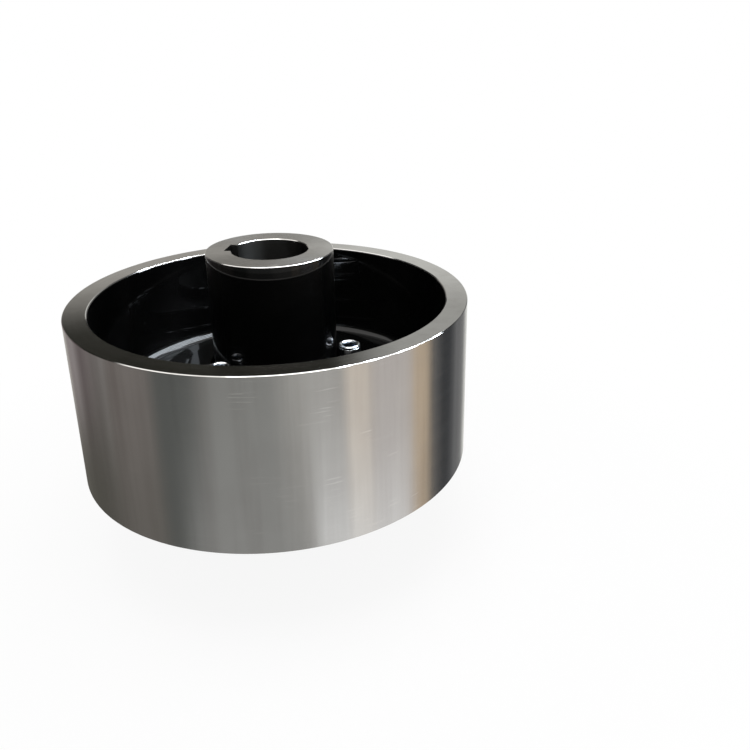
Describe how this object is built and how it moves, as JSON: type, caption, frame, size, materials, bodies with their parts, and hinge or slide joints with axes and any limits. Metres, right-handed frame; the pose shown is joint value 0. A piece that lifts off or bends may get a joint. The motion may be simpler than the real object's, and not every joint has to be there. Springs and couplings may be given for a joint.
{
  "type": "flexible pin coupling with brake wheel",
  "caption": "Flexible nylon-pin shaft coupling: a black-painted half with a machined brake drum, pinned to a plain flanged half, with keyed bores for two shafts.",
  "frame": {"origin": "centre of the lower hub's end face, on which the coupling stands", "axes": "+Z along the shafts towards the brake wheel's hub; the keyways look towards -X; one upper screw at +X"},
  "size_m": [0.315, 0.315, 0.252],
  "materials": {
    "machined_and_painted_steel": "satin turned steel on the drum's outside, rim and hub end; gloss black paint elsewhere",
    "black_painted_steel": "gloss black paint, with turned steel at the mating and end faces",
    "nylon": "natural turned nylon",
    "zinc_plated_steel": "bright zinc plating"
  },
  "bodies": {
    "lower_half": {"half_coupling": "black_painted_steel", "nylon_pin_1": "nylon", "nylon_pin_2": "nylon", "nylon_pin_3": "nylon", "nylon_pin_4": "nylon", "nylon_pin_5": "nylon", "nylon_pin_6": "nylon", "nylon_pin_7": "nylon", "nylon_pin_8": "nylon", "nylon_pin_9": "nylon", "lower_retaining_plate": "black_painted_steel", "lower_spring_washer_1": "zinc_plated_steel", "lower_cap_screw_1": "zinc_plated_steel", "lower_spring_washer_2": "zinc_plated_steel", "lower_cap_screw_2": "zinc_plated_steel", "lower_spring_washer_3": "zinc_plated_steel", "lower_cap_screw_3": "zinc_plated_steel"},
    "upper_half": {"brake_wheel": "machined_and_painted_steel", "brake_wheel_hub": "machined_and_painted_steel", "upper_retaining_plate": "black_painted_steel", "upper_spring_washer_1": "zinc_plated_steel", "upper_cap_screw_1": "zinc_plated_steel", "upper_spring_washer_2": "zinc_plated_steel", "upper_cap_screw_2": "zinc_plated_steel", "upper_spring_washer_3": "zinc_plated_steel", "upper_cap_screw_3": "zinc_plated_steel"}
  },
  "joints": [
    {"name": "axial_float", "type": "slide", "parent": "lower_half", "child": "upper_half", "axis": [0, 0, 1], "range_m": [0, 0.003]}
  ]
}
